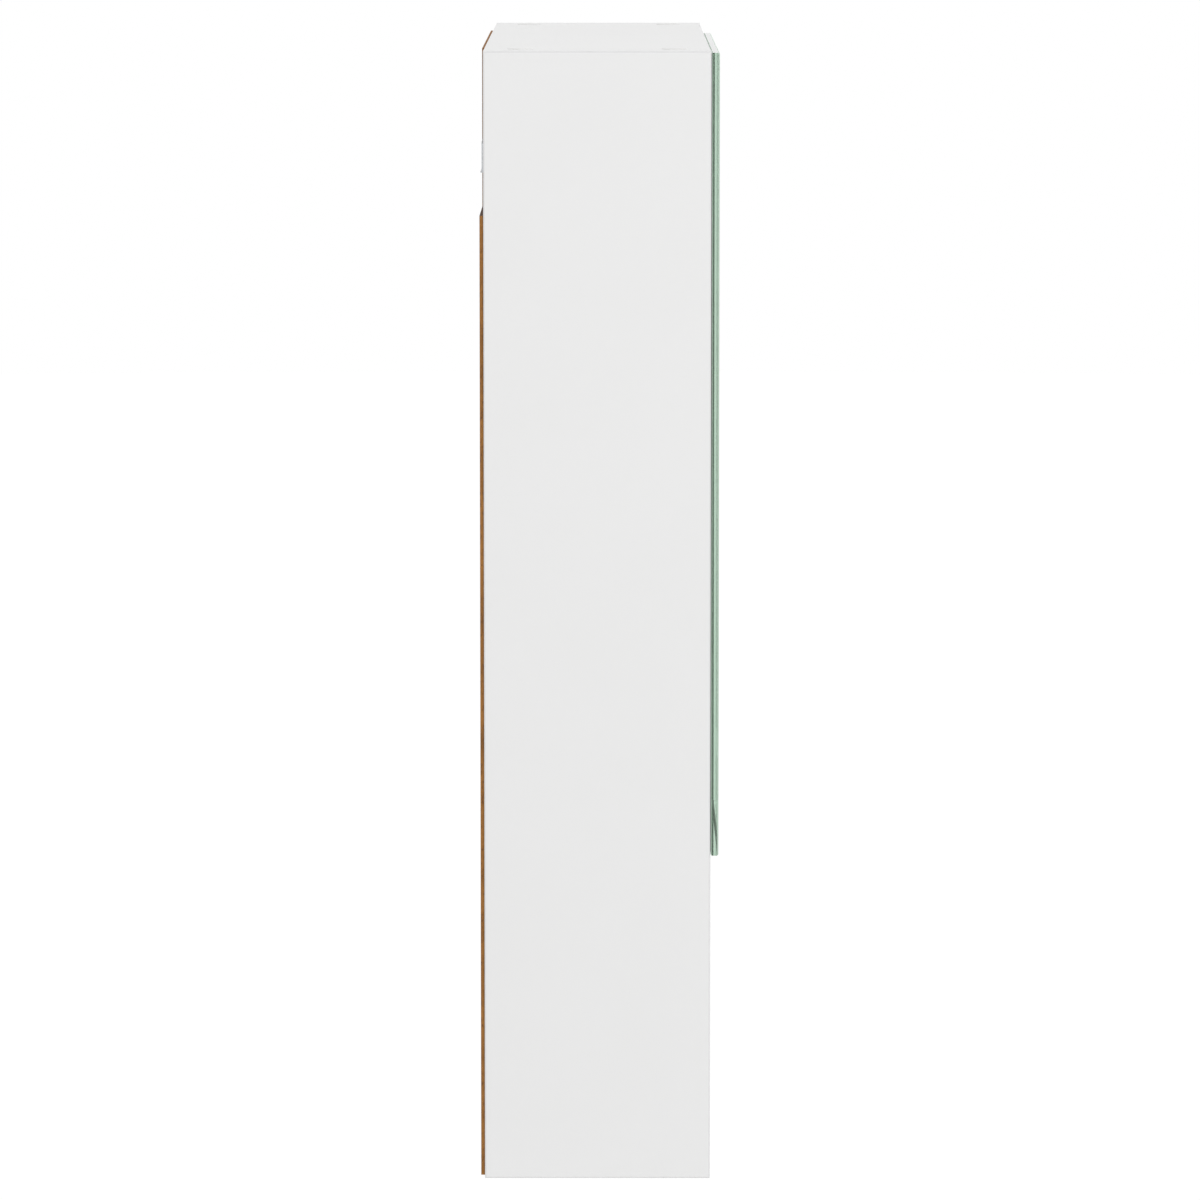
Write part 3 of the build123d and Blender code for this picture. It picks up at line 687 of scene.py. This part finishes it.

# Back panel: brown hardboard, coated white on the side that shows inside the cabinet. Both upper corners
# are sawn away for the hangers, and the sawn edges are fibrous; the upward-facing ones are painted darker as
# painted shade.
NAIL_HEAD_RADIUS = 1.6 * MM
NAIL_HEAD_HEIGHT = 0.5 * MM
NAIL_HOLE_RADIUS = 0.75 * MM


def hardboard(name, light, dark, fleck, gap):
    """Pressed wood fibre, with fine flecks drawn out along the sheet."""
    made, tree, shader, place = surface(name, Roughness=0.78)
    drawn = node(tree, "ShaderNodeMapping", {"Vector": place, "Scale": (0.5, 1.0, 0.22)})
    fibre = node(tree, "ShaderNodeTexNoise", {"Vector": drawn.outputs[0], "Scale": 1300.0, "Detail": 6.0})
    texture = textured(tree, place, 700.0, 55.0, 0.35, 0.0002)
    body = blended(tree, ranged(tree, texture["Patches"], 0.3, 0.7, 0.0, 1.0), light, dark)
    colour = blended(tree, ranged(tree, fibre.outputs[0], gap, gap + 0.16, 0.0, 0.85), body, fleck)
    tree.links.new(colour, shader.inputs["Base Color"])
    relief = node(
        tree,
        "ShaderNodeBump",
        {"Strength": 0.5, "Distance": 0.0002, "Height": fibre.outputs[0], "Normal": texture["Normal"]},
    )
    tree.links.new(relief.outputs[0], shader.inputs["Normal"])
    return made


def prism(mesh, outline, axis, low, high):
    """Adds a prism to a bmesh: an outline in the plane across an axis, drawn from low to high along it."""
    first, second = [k for k in range(3) if k != axis]
    rings = []
    for level in (low, high):
        ring = []
        for across, up in outline:
            point = [0.0, 0.0, 0.0]
            point[first], point[second], point[axis] = across, up, level
            ring.append(mesh.verts.new(point))
        rings.append(ring)
    faces = [mesh.faces.new(rings[0]), mesh.faces.new(rings[1])]
    for here in range(len(outline)):
        nxt = (here + 1) % len(outline)
        faces.append(mesh.faces.new((rings[0][here], rings[0][nxt], rings[1][nxt], rings[1][here])))
    bmesh.ops.recalc_face_normals(mesh, faces=faces)
    return faces


back_low, back_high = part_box("back_panel")
NOTCH_X = 185.0 * MM
NOTCH_Z = -36.0 * MM
outline = [(back_low.x, back_low.z), (back_high.x, back_low.z), (back_high.x, NOTCH_Z), (NOTCH_X, NOTCH_Z)]
outline += [(NOTCH_X, back_high.z), (-NOTCH_X, back_high.z), (-NOTCH_X, NOTCH_Z), (back_low.x, NOTCH_Z)]
panel = bmesh.new()
for face in prism(panel, outline, 1, back_low.y, back_high.y):
    face.material_index = 0 if face.normal.y < -0.9 else 1 if face.normal.y > 0.9 else 2
    # Faces of the notches that face upwards get a near-black brown: painted shade.
    if face.normal.z > 0.9 and face.calc_center_median().z < NOTCH_Z + MM:
        face.material_index = 3
nail_spots = middles("back_panel_nails")
sinks = bmesh.new()
for x, _, z in nail_spots:
    under = back_high.y - NAIL_HEAD_HEIGHT
    drill(sinks, (x, under, z), (x, back_high.y + MM, z), NAIL_HEAD_RADIUS + HOLE_GAP)
    drill(sinks, (x, back_low.y - MM, z), (x, under + NAIL_HEAD_HEIGHT / 2, z), NAIL_HOLE_RADIUS)
for face in sinks.faces:
    face.material_index = 2
white_coat = even_finish(
    "white coating", (0.81, 0.81, 0.80, 1), (0.80, 0.80, 0.79, 1), 0.42, 0.55, 1500.0, 30.0, 0.15
)
HARDBOARD_TONES = {
    "hardboard face": ((0.34, 0.205, 0.095, 1), (0.27, 0.155, 0.067, 1), (0.16, 0.085, 0.033, 1), 0.60),
    "hardboard edge": ((0.37, 0.16, 0.030, 1), (0.23, 0.095, 0.016, 1), (0.10, 0.036, 0.008, 1), 0.53),
    # Painted shade: the darkest brown, used only on the upward-facing notch edges.
    "painted shade notch top": ((0.13, 0.055, 0.018, 1), (0.085, 0.033, 0.010, 1), (0.04, 0.014, 0.004, 1), 0.50),
}
panel_materials = [white_coat] + [hardboard(name, *tones) for name, tones in HARDBOARD_TONES.items()]
panel_mesh = carved("back panel", panel, [("DIFFERENCE", sinks)], panel_materials)
made_piece("hardboard_back", panel_mesh, "carcass", ["back_panel"])

# Nails: bright wire nails with flat heads, cut and pressed from steel wire. They are driven flush with the
# hardboard, into the back edges of the boards.
def nail_tree():
    """A wire nail: a pointed shank under a flat head."""
    sizes = {"Head Radius": 1.6, "Head Height": 0.5, "Shank Radius": 0.7, "Length": 13.9, "Point": 2.0}
    tree, given = fitting_tree("wire nail", sizes)
    tip = maths(tree, "MULTIPLY", given["Length"], -1.0)
    under = maths(tree, "MULTIPLY", given["Head Height"], -1.0)
    rings = [(0.0, tip), (given["Shank Radius"], maths(tree, "ADD", tip, given["Point"]))]
    rings += [(given["Shank Radius"], under), (given["Head Radius"], maths(tree, "ADD", under, 0.05))]
    rings += [(given["Head Radius"], -0.12), (maths(tree, "SUBTRACT", given["Head Radius"], 0.25), 0.0)]
    return placed_on_points(tree, given, turned(tree, rings, 20))


nail_steel = even_finish(
    "nail steel", (0.50, 0.50, 0.51, 1), (0.36, 0.35, 0.35, 1), 0.30, 0.50, 2500.0, 500.0, 0.3, Metallic=1.0
)
nail_places = [(Vector((x, back_high.y, z)), facing((0, 1, 0))) for x, _, z in nail_spots]
fittings("wire_nails", nail_tree(), nail_places, nail_steel, "zinc_steel", ["back_panel_nails"])

# Wall hangers: 1 mm zinc-plated steel plates with a keyhole and a turned-out lip along the foot, each held
# by two countersunk screws in the side panel's back edge.
KEYHOLE_X = 255.0 * MM
KEYHOLE_RADIUS = 4.5 * MM
KEYHOLE_SLOT_RADIUS = 2.4 * MM
KEYHOLE_RISE = 7.5 * MM
HANGER_PLATE = 1.0 * MM
HANGER_CORNER = 2.0 * MM
SCREW_HEAD_RADIUS = 2.9 * MM
SCREW_HEAD_HEIGHT = 1.6 * MM
SCREW_SHANK_RADIUS = 1.4 * MM
SCREW_HOLE_DEPTH = 6.0 * MM
LIP_THICKNESS = 1.0 * MM
LIP_ROUND = 0.4 * MM


def arc(centre, radius, start, end, steps=10):
    """Points on an arc, its angles in degrees."""
    angles = [math.radians(start + (end - start) * k / steps) for k in range(steps + 1)]
    return [(centre[0] + radius * math.cos(a), centre[1] + radius * math.sin(a)) for a in angles]


def sink(mesh, face_point, inward):
    """Adds to a bmesh the hole for a countersunk screw, from the face inwards."""
    inward, start = Vector(inward), Vector(face_point)
    place = Matrix.Translation(start + inward * (SCREW_HEAD_HEIGHT / 2)) @ (
        (-inward).to_track_quat("Z", "Y").to_matrix().to_4x4()
    )
    wide, narrow = SCREW_HEAD_RADIUS + HOLE_GAP, SCREW_SHANK_RADIUS + HOLE_GAP
    sizes = {"radius1": narrow, "radius2": wide, "depth": SCREW_HEAD_HEIGHT}
    bmesh.ops.create_cone(mesh, cap_ends=True, segments=HOLE_SEGMENTS, matrix=place, **sizes)
    drill(mesh, start + inward * (SCREW_HEAD_HEIGHT * 0.9), start + inward * SCREW_HOLE_DEPTH, narrow)
    drill(mesh, start - inward * MM, start + inward * 0.01 * MM, wide)


def hanger(name, screws):
    """One hanger's mesh."""
    low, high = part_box(name)
    side = -1 if low.x < 0 else 1
    plate = bmesh.new()
    corner, edge = HANGER_CORNER, [(low.x, low.z), (high.x, low.z)]
    edge += arc((high.x - corner, high.z - corner), corner, 0, 90)
    edge += arc((low.x + corner, high.z - corner), corner, 90, 180)
    prism(plate, edge, 1, 0.0, HANGER_PLATE)
    lip = bmesh.new()
    lip_top = low.z + LIP_THICKNESS
    foot = [(HANGER_PLATE / 2, low.z)]
    foot += arc((high.y - LIP_ROUND, low.z + LIP_ROUND), LIP_ROUND, -90, 0, 4)
    foot += arc((high.y - LIP_ROUND, lip_top - LIP_ROUND), LIP_ROUND, 0, 90, 4)
    foot += [(HANGER_PLATE + LIP_ROUND, lip_top), (HANGER_PLATE, lip_top + LIP_ROUND)]
    foot += [(HANGER_PLATE / 2, lip_top + LIP_ROUND)]
    prism(lip, foot, 0, low.x, high.x)
    keyhole = bmesh.new()
    neck = math.degrees(math.asin(KEYHOLE_SLOT_RADIUS / KEYHOLE_RADIUS))
    shape = arc((side * KEYHOLE_X, 0), KEYHOLE_RADIUS, 90 + neck, 450 - neck, 36)
    shape += arc((side * KEYHOLE_X, KEYHOLE_RISE), KEYHOLE_SLOT_RADIUS, 0, 180, 16)
    prism(keyhole, shape, 1, -MM, HANGER_PLATE + MM)
    holes = bmesh.new()
    for place in screws:
        sink(holes, (place.x, HANGER_PLATE, place.z), (0, -1, 0))
    steps = [("UNION", lip), ("DIFFERENCE", keyhole), ("DIFFERENCE", holes)]
    return carved(name, plate, steps, [zinc_plate])


def screw_tree():
    """A countersunk screw with a cross recess; each root and crest is one turn of the thread."""
    sizes = {"Head Radius": 2.9, "Head Height": 1.6, "Core Radius": 1.0, "Thread Radius": 1.4, "Length": 12.0}
    sizes.update({"Recess Length": 3.2, "Recess Width": 0.7, "Recess Depth": 0.9})
    tree, given = fitting_tree("countersunk screw", sizes)
    turns = 7
    tip = maths(tree, "MULTIPLY", given["Length"], -1.0)
    neck = maths(tree, "MULTIPLY", given["Head Height"], -1.0)
    pitch = maths(tree, "DIVIDE", maths(tree, "SUBTRACT", neck, tip), turns + 1.0)
    rings = [(0.0, tip)]
    for turn in range(turns):
        root = maths(tree, "MULTIPLY_ADD", pitch, turn + 0.6, tip)
        crest = maths(tree, "MULTIPLY_ADD", pitch, turn + 1.0, tip)
        core = maths(tree, "MULTIPLY", given["Core Radius"], 0.55 if turn == 0 else 1.0)
        rings += [(core, root), (given["Thread Radius"], crest)]
    rings += [(given["Core Radius"], maths(tree, "SUBTRACT", neck, 0.3)), (given["Thread Radius"], neck)]
    rings += [(given["Head Radius"], -0.15), (maths(tree, "SUBTRACT", given["Head Radius"], 0.12), 0.0)]
    length, width = given["Recess Length"], given["Recess Width"]
    deep = maths(tree, "MULTIPLY", given["Recess Depth"], 2.0)
    tools = [box_tool(tree, sizes, (0, 0, 0)) for sizes in ((length, width, deep), (width, length, deep))]
    return placed_on_points(tree, given, cut_away(tree, turned(tree, rings, 24), tools))


screws = screw_tree()
hanger_screws = middles("hanger_screws")
for side, name in ((-1, "left_wall_hanger"), (1, "right_wall_hanger")):
    mesh = hanger(name, [place for place in hanger_screws if place.x * side > 0])
    made_piece(name + "_plate", mesh, "carcass", [name])
places = [(Vector((place.x, HANGER_PLATE, place.z)), facing((0, 1, 0))) for place in hanger_screws]
fittings("hanger_screws_zinc", screws, places, zinc_plate, "zinc_steel", ["hanger_screws"], spin=math.pi)

# Shelf pins: plain pins of nickel-plated steel, turned and chamfered, pushed by hand into the drilled rows.
# Each loose shelf lies on four of them.
pins = rod_tree("plain pin", 2.5, 14.0, 0.4, 28)
nickel = even_finish(
    "nickel plate", (0.68, 0.66, 0.62, 1), (0.60, 0.58, 0.55, 1), 0.16, 0.30, 1400.0, 90.0, 0.08, Metallic=1.0
)
places = [(spot, facing((1, 0, 0))) for spot in middles("shelf_pins")]
fittings("steel_shelf_pins", pins, places, nickel, "nickel_steel", ["shelf_pins"])

# Wrap hinges: two, in nickel-plated 1.2 mm sheet. The fixed leaf lies in its mortise across the divider's
# edge and wraps back along the inner face, where three screws hold it; the door leaf is bonded to the glass.
# Both are rolled into knuckles round a plain pin.
KNUCKLE_RADIUS = 2.5 * MM
PIN_BORE = 1.3 * MM
LEAF_CORNER = 8.0 * MM
KNUCKLE_CLEAR = 0.3 * MM
DOOR_KNUCKLE = 18.0 * MM
KNUCKLE_GAP = 0.25 * MM
ROLL_SLIT = 0.16 * MM
SLIT_OVERRUN = 0.1 * MM


def rolled_edge(axis, near, far):
    """The outline of a rolled knuckle, from the leaf's one face round to its other face."""
    start = math.degrees(math.asin((near - axis.y) / KNUCKLE_RADIUS))
    end = math.degrees(math.asin((far - axis.y) / KNUCKLE_RADIUS))
    return arc((axis.x, axis.y), KNUCKLE_RADIUS, -180 - start, 180 - end, 40)


def bore_roll(cuts, axis, slit_low, slit_high, low, high):
    """Adds to a bmesh the pin's bore, and the fine slit where the rolled sheet meets its own leaf again."""
    drill(cuts, (axis.x, axis.y, low.z - MM), (axis.x, axis.y, high.z + MM), PIN_BORE)
    start, end = axis.x - KNUCKLE_RADIUS - SLIT_OVERRUN, axis.x - PIN_BORE * 0.8
    block(cuts, (start, slit_low, low.z - MM), (end, slit_high, high.z + MM))


def fixed_leaf(name, axis, screws):
    """The wrap leaf's mesh."""
    low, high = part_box(name)
    near, far = axis.y + AXIS_TO_LEAF, axis.y + AXIS_TO_LEAF + LEAF
    face_x = divider_low.x
    bend = arc((low.x + LEAF, near + LEAF), LEAF, 270, 180, 8)
    section = bend + [(low.x, high.y), (face_x, high.y), (face_x, far), (axis.x - KNUCKLE_RADIUS, far)]
    section += list(reversed(rolled_edge(axis, near, far)))
    leaf = bmesh.new()
    prism(leaf, section, 2, low.z, high.z)
    cuts = bmesh.new()
    middle = (low.z + high.z) / 2
    clear = DOOR_KNUCKLE / 2 + KNUCKLE_GAP
    gap_low = (divider_high.x - KNUCKLE_CLEAR, low.y - MM, middle - clear)
    block(cuts, gap_low, (high.x + MM, far + MM, middle + clear))
    bore_roll(cuts, axis, near - ROLL_SLIT, near, low, high)
    corner = LEAF_CORNER
    for end_z, way in ((low.z, -1), (high.z, 1)):
        centre = (high.y - corner, end_z - way * corner)
        round_off = arc(centre, corner, 0, way * 90) + [(high.y - corner, end_z + way * MM)]
        round_off += [(high.y + MM, end_z + way * MM), (high.y + MM, end_z - way * corner)]
        prism(cuts, round_off, 0, low.x - MM, face_x + MM)
    holes = bmesh.new()
    for place in screws:
        sink(holes, (low.x, place.y, place.z), (1, 0, 0))
    return carved(name, leaf, [("DIFFERENCE", cuts), ("DIFFERENCE", holes)], [nickel])


def door_leaf(name, axis):
    """The bonded leaf's mesh."""
    low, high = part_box(name)
    near, far = pane_high.y, pane_high.y + LEAF
    middle = (low.z + high.z) / 2
    corner = LEAF_CORNER
    right = divider_high.x - KNUCKLE_CLEAR
    plate = [(right, low.z), (right, high.z)]
    plate += arc((low.x + corner, high.z - corner), corner, 90, 180)
    plate += arc((low.x + corner, low.z + corner), corner, 180, 270)
    leaf = bmesh.new()
    prism(leaf, plate, 1, near, far)
    barrel = bmesh.new()
    section = [(low.x + corner, far), (low.x + corner, near)] + rolled_edge(axis, near, far)
    prism(barrel, section, 2, middle - DOOR_KNUCKLE / 2, middle + DOOR_KNUCKLE / 2)
    cuts = bmesh.new()
    bore_roll(cuts, axis, far, far + ROLL_SLIT, low, high)
    return carved(name, leaf, [("UNION", barrel), ("DIFFERENCE", cuts)], [nickel])


for height in ("upper", "lower"):
    axis = middle_of(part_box(height + "_hinge_pin"))
    screw_spots = middles(height + "_hinge_screws")
    name = height + "_fixed_leaf"
    mesh = smoothed(fixed_leaf(name, axis, screw_spots), 20.0)
    made_piece(name + "_rolled", mesh, "carcass", [name])
    name = height + "_door_leaf"
    mesh = smoothed(door_leaf(name, axis), 20.0)
    made_piece(name + "_rolled", mesh, "door", [name])
    name = height + "_hinge_pin"
    places = [(axis, facing((0, 0, 1)))]
    rod = {"Radius": 1.25, "Length": 45.0, "Chamfer": 0.25}
    fittings(name + "_turned", pins, places, nickel, "nickel_steel", [name], **rod)
    leaf_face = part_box(height + "_fixed_leaf")[0].x
    places = [(Vector((leaf_face, spot.y, spot.z)), facing((-1, 0, 0))) for spot in screw_spots]
    name = height + "_hinge_screws"
    fittings(name + "_nickel", screws, places, nickel, "nickel_steel", [name], spin=math.pi, Seed=3)

# Magnetic catch: a white moulded housing on the left side panel, with a ferrite magnet between two steel
# pole plates; the steel strike plate is bonded to the back of the glass.
FLANGE = 2.4 * MM
CATCH_BODY = 30.0 * MM
CATCH_CORNER = 2.0 * MM
SLOT_REACH = 1.4 * MM
SLOT_RADIUS = 1.6 * MM


def catch_mesh():
    """The housing: a rounded body on a flange, open at the mouth, with slotted and sunk screw holes."""
    low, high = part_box("catch_housing")
    middle = (low.z + high.z) / 2
    poles_low, poles_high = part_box("catch_pole_plates")
    front, back = low.y + CATCH_CORNER, high.y - CATCH_CORNER
    foot, head = low.z + CATCH_CORNER, high.z - CATCH_CORNER
    flange, edge = bmesh.new(), []
    for centre, start in (((front, foot), 180), ((back, foot), 270), ((back, head), 0), ((front, head), 90)):
        edge += arc(centre, CATCH_CORNER, start, start + 90, 6)
    prism(flange, edge, 0, low.x, low.x + FLANGE)
    body = bmesh.new()
    block(body, (low.x, low.y, middle - CATCH_BODY / 2), (high.x, high.y, middle + CATCH_BODY / 2))
    outer = [e for e in body.edges if all(v.co.x > high.x - 1e-6 for v in e.verts)]
    bmesh.ops.bevel(body, geom=outer, offset=EDGE_ROUND, segments=4, profile=0.5, affect="EDGES")
    cuts = bmesh.new()
    mouth_low = (poles_low.x - HOLE_GAP, low.y - MM, poles_low.z - HOLE_GAP)
    block(cuts, mouth_low, poles_high + Vector((HOLE_GAP, HOLE_GAP, HOLE_GAP)))
    holes = bmesh.new()
    for spot in middles("catch_screws"):
        slot = arc((spot.y + SLOT_REACH, spot.z), SLOT_RADIUS, -90, 90)
        slot += arc((spot.y - SLOT_REACH, spot.z), SLOT_RADIUS, 90, 270)
        prism(cuts, slot, 0, low.x - MM, low.x + FLANGE + MM)
        sink(holes, (low.x + FLANGE, spot.y, spot.z), (-1, 0, 0))
    steps = [("UNION", body), ("DIFFERENCE", cuts), ("DIFFERENCE", holes)]
    return carved("catch housing", flange, steps, [white_plastic])


def dress(name, material):
    """A CAD node that is kept gets its material."""
    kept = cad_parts[name]
    if not kept.material_slots:
        kept.data.materials.append(material)
    for slot in kept.material_slots:
        slot.material = material


made_piece("catch_housing_moulded", catch_mesh(), "carcass", ["catch_housing"])
catch_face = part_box("catch_housing")[0].x + FLANGE
places = [(Vector((catch_face, spot.y, spot.z)), facing((1, 0, 0))) for spot in middles("catch_screws")]
name = "catch_screws"
fittings(name + "_zinc", screws, places, zinc_plate, "zinc_steel", [name], spin=math.pi, Seed=11)
ferrite = even_finish(
    "ferrite", (0.055, 0.055, 0.06, 1), (0.03, 0.03, 0.033, 1), 0.45, 0.7, 1700.0, 250.0, 0.5, Metallic=0.3
)
dress("catch_magnet", ferrite)
for name in ("catch_pole_plates", "strike_plate"):
    dress(name, zinc_plate)

# Room: not a piece of the cabinet. A plain pale floor lies well below it, four large soft lamps and a white
# surround light it evenly, and the camera looks at its left side, as in the photograph.
FLOOR_LEVEL = -2.6
FLOOR_RADIUS = 30.0
FLOOR_LIFT = 0.42
ROOM_LIGHT = 0.72
LAMP_SIZE = 2.6
CABINET_MIDDLE = (0, -0.075, -0.3)
CAMERA_PLACE = (-4.86863, -0.08012, 0.23252)
CAMERA_PITCH = 0.11381
CAMERA_TURN = 0.00074
CAMERA_LENS = 208.755


def seen_directly(tree):
    """Whether a ray comes from the camera, off a polished surface or through glass."""
    path = tree.nodes.new("ShaderNodeLightPath").outputs
    seen = maths(tree, "MAXIMUM", path["Is Camera Ray"], path["Is Glossy Ray"])
    return maths(tree, "MAXIMUM", seen, path["Is Transmission Ray"])


floor_disc = bmesh.new()
bmesh.ops.create_circle(floor_disc, cap_ends=True, segments=96, radius=FLOOR_RADIUS)
floor_material, tree, shader, place = surface("pale floor", Roughness=0.95)
shader.inputs["Specular IOR Level"].default_value = 0.0
shader.inputs["Base Color"].default_value = (0.82, 0.82, 0.82, 1)
shader.inputs["Emission Color"].default_value = (1, 1, 1, 1)
lift = maths(tree, "MULTIPLY", seen_directly(tree), FLOOR_LIFT)
tree.links.new(lift, shader.inputs["Emission Strength"])
floor = set_down("floor", mesh_of("floor", floor_disc, [floor_material]))
floor.location.z = FLOOR_LEVEL

world = bpy.data.worlds.new("white room")
world.use_nodes = True
bpy.context.scene.world = world
tree = world.node_tree
light = tree.nodes["Background"]
light.inputs["Color"].default_value = (1, 1, 1, 1)
light.inputs["Strength"].default_value = ROOM_LIGHT
white = node(tree, "ShaderNodeBackground", {"Color": (1, 1, 1, 1), "Strength": 1.0})
mixed = node(tree, "ShaderNodeMixShader", {0: seen_directly(tree), 1: light.outputs[0], 2: white.outputs[0]})
tree.links.new(mixed.outputs[0], tree.nodes["World Output"].inputs["Surface"])


def soft_light(name, place, power):
    """A large square lamp that faces the cabinet."""
    lamp = bpy.data.lights.new(name, "AREA")
    lamp.shape, lamp.size, lamp.energy = "SQUARE", LAMP_SIZE, power
    stand = set_down(name, lamp)
    stand.location = place
    towards = Vector(CABINET_MIDDLE) - Vector(place)
    stand.rotation_euler = towards.to_track_quat("-Z", "Y").to_euler()


soft_light("side lamp", (-4.0, -1.6, 1.2), 59.0)
soft_light("top lamp", (0.4, -1.0, 3.6), 10.0)
soft_light("front lamp", (1.6, -4.0, 0.8), 30.0)
soft_light("back lamp", (1.2, 4.2, 0.9), 34.0)

camera = set_down("camera", bpy.data.cameras.new("camera"))
bpy.context.scene.camera = camera
camera.data.sensor_width = 36.0
camera.data.lens = CAMERA_LENS
camera.location = CAMERA_PLACE
camera.rotation_euler = (math.pi / 2 - CAMERA_PITCH, 0, CAMERA_TURN - math.pi / 2)
bpy.context.scene.view_settings.view_transform = "Standard"
